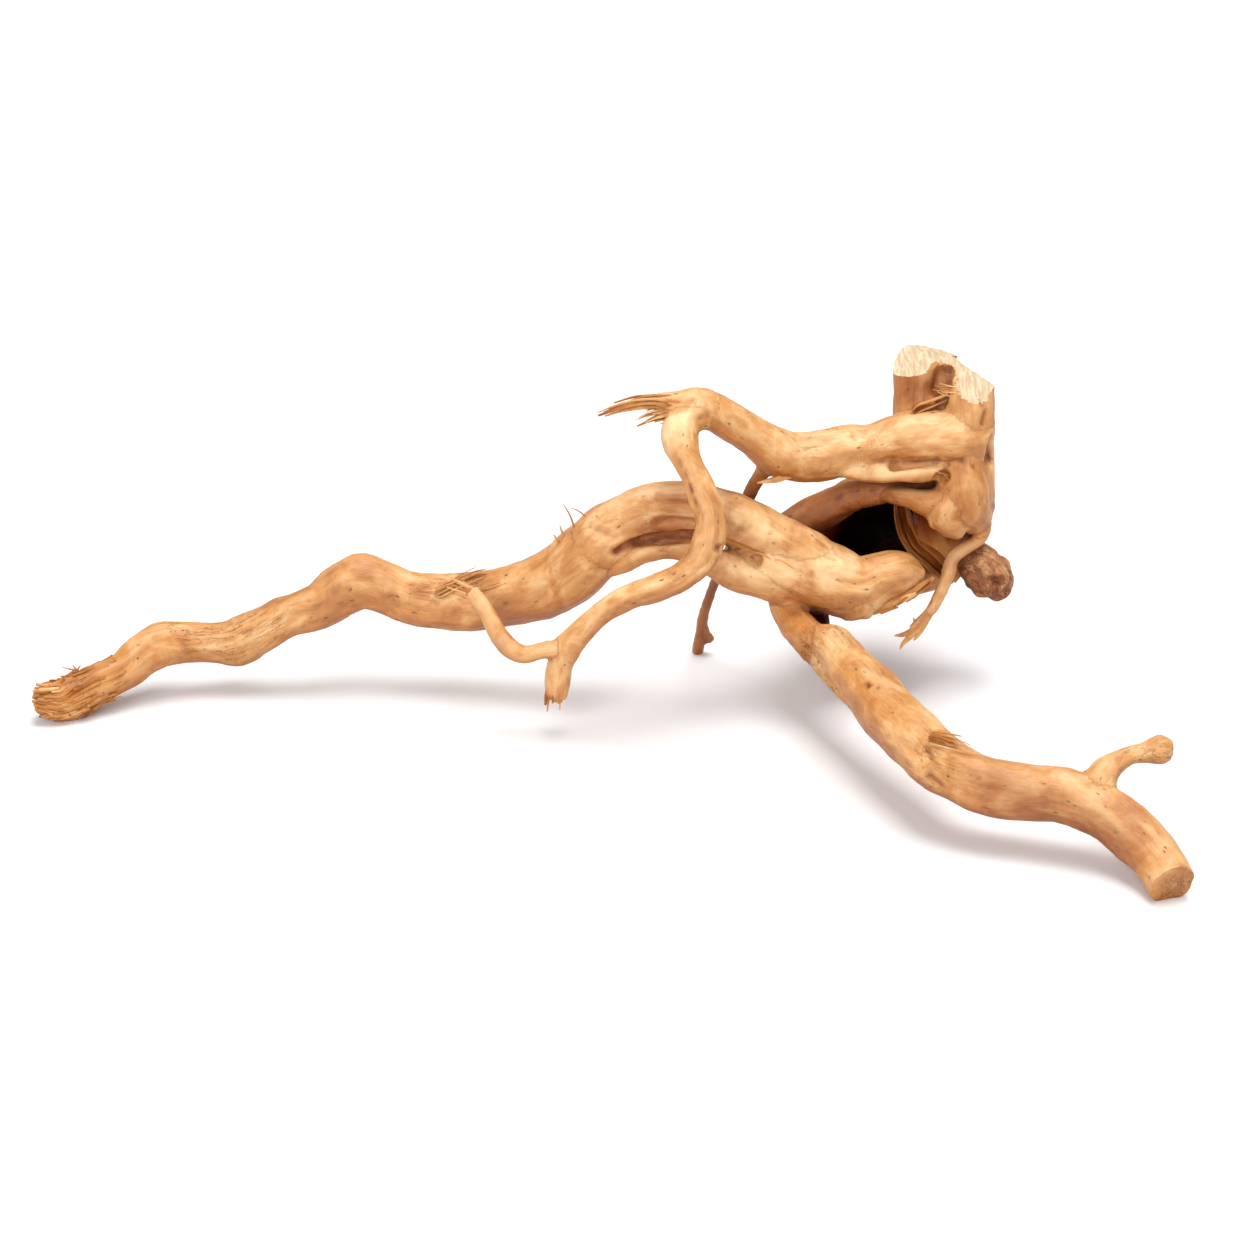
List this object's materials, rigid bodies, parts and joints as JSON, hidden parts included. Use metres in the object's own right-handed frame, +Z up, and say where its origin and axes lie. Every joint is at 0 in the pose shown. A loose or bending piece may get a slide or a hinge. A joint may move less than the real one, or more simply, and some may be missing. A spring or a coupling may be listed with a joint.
{
  "type": "driftwood root",
  "caption": "Peeled driftwood root with twisting limbs, frayed ends, sawn stumps, a dark hollow and a bark-covered burl, lying on low points as decor",
  "frame": {"origin": "centre of the bounding box, on the ground it lies on", "axes": "+X along the root towards the front limb and the stumps, +Y away from the front, +Z up"},
  "size_m": [0.52, 0.2653, 0.1591],
  "materials": {
    "weathered_wood": "satin, peeled and weathered"
  },
  "bodies": {
    "root": {"driftwood_root": "weathered_wood"}
  },
  "joints": []
}
